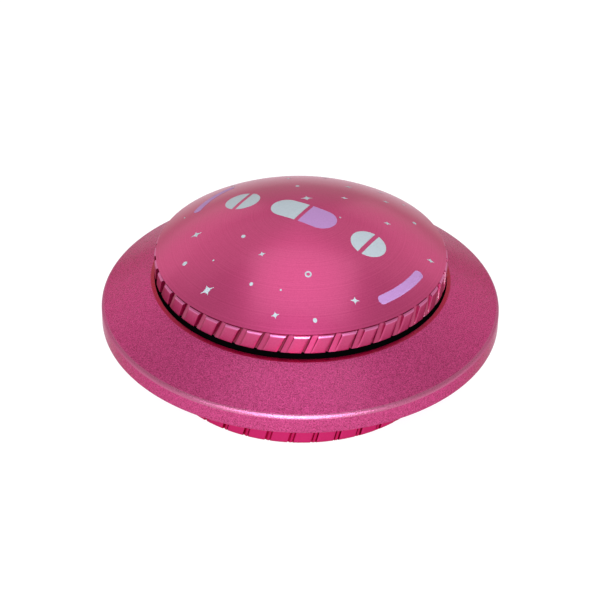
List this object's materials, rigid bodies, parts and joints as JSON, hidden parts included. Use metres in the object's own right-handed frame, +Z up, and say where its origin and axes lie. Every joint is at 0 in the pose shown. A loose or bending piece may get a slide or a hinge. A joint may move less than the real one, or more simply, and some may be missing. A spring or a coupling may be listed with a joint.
{
  "type": "pill splitter",
  "caption": "Palm-sized anodised aluminium saucer with a domed twist cap that drives a small blade down onto a tablet held in a V cradle, over a screw-on storage cup.",
  "frame": {"origin": "centre of the foot ring's underside, on the table", "axes": "+Z up along the turning axis, -Y the front that faces the viewer, +X the viewer's right"},
  "size_m": [0.085, 0.085, 0.0379],
  "materials": {
    "anodised_blasted": "bead-blasted pink anodising",
    "anodised_turned": "fine-turned pink anodising",
    "anodised_satin": "satin pink anodising",
    "black_ring": "matt black",
    "deck_aluminium": "clear anodised",
    "steel_screw": "machined",
    "nickel_magnet": "nickel plated",
    "cradle_plastic": "fine moulded",
    "anvil_plastic": "dense grey",
    "pad_rubber": "ribbed",
    "bronze_bush": "turned",
    "seal_rubber": "smooth",
    "lid_plastic": "fine moulded",
    "ground_steel": "ground",
    "drum_acetal": "machined acetal",
    "roller_acetal": "natural acetal",
    "spring_steel": "spring steel",
    "washer_plastic": "natural acetal",
    "carriage_aluminium": "machined",
    "blade_steel": "ground edge",
    "foot_rubber": "matt",
    "divider_plastic": "fine moulded"
  },
  "bodies": {
    "base": {"base_cup": "anodised_satin", "foot_ring": "foot_rubber"},
    "saucer": {"saucer_body": "anodised_blasted", "friction_ring": "black_ring", "deck_plate": "deck_aluminium", "deck_screws": "steel_screw", "body_magnets": "nickel_magnet", "pill_cradle": "cradle_plastic", "anvil_strip": "anvil_plastic", "cradle_pad_left": "pad_rubber", "cradle_pad_right": "pad_rubber", "cradle_screws": "steel_screw", "locating_bushes": "bronze_bush", "base_seal": "seal_rubber"},
    "lid_frame": {"lid_frame": "lid_plastic", "guide_posts": "ground_steel", "lid_magnets": "nickel_magnet"},
    "dome": {"dome_cap": "anodised_turned", "drive_drum": "drum_acetal", "drum_screws": "steel_screw", "retaining_ring": "spring_steel", "thrust_washer": "washer_plastic"},
    "carriage": {"blade_carriage": "carriage_aluminium", "carriage_bushes": "bronze_bush", "follower_pins": "ground_steel", "follower_rollers": "roller_acetal", "blade": "blade_steel", "blade_clamp": "carriage_aluminium", "blade_screws": "steel_screw"},
    "tray": {"storage_divider": "divider_plastic"}
  },
  "joints": [
    {"name": "saucer_turn", "type": "hinge", "parent": "base", "child": "tray", "pos_m": [0, 0, 0.005], "axis": [0, 0, 1], "range_deg": [0, 360]},
    {"name": "saucer_lift", "type": "slide", "parent": "tray", "child": "saucer", "axis": [0, 0, 1], "range_m": [0, 0.02]},
    {"name": "lid_lift", "type": "slide", "parent": "saucer", "child": "lid_frame", "axis": [0, 0, 1], "range_m": [0, 0.03]},
    {"name": "dome_turn", "type": "hinge", "parent": "lid_frame", "child": "dome", "pos_m": [0, 0, 0.03], "axis": [0, 0, -1], "range_deg": [0, 100]},
    {"name": "blade_drop", "type": "slide", "parent": "lid_frame", "child": "carriage", "axis": [0, 0, -1], "range_m": [0, 0.005]}
  ],
  "couplings": [
    {"joint": "blade_drop", "follows": "dome_turn", "m_per_rad": 0.0028648}
  ]
}
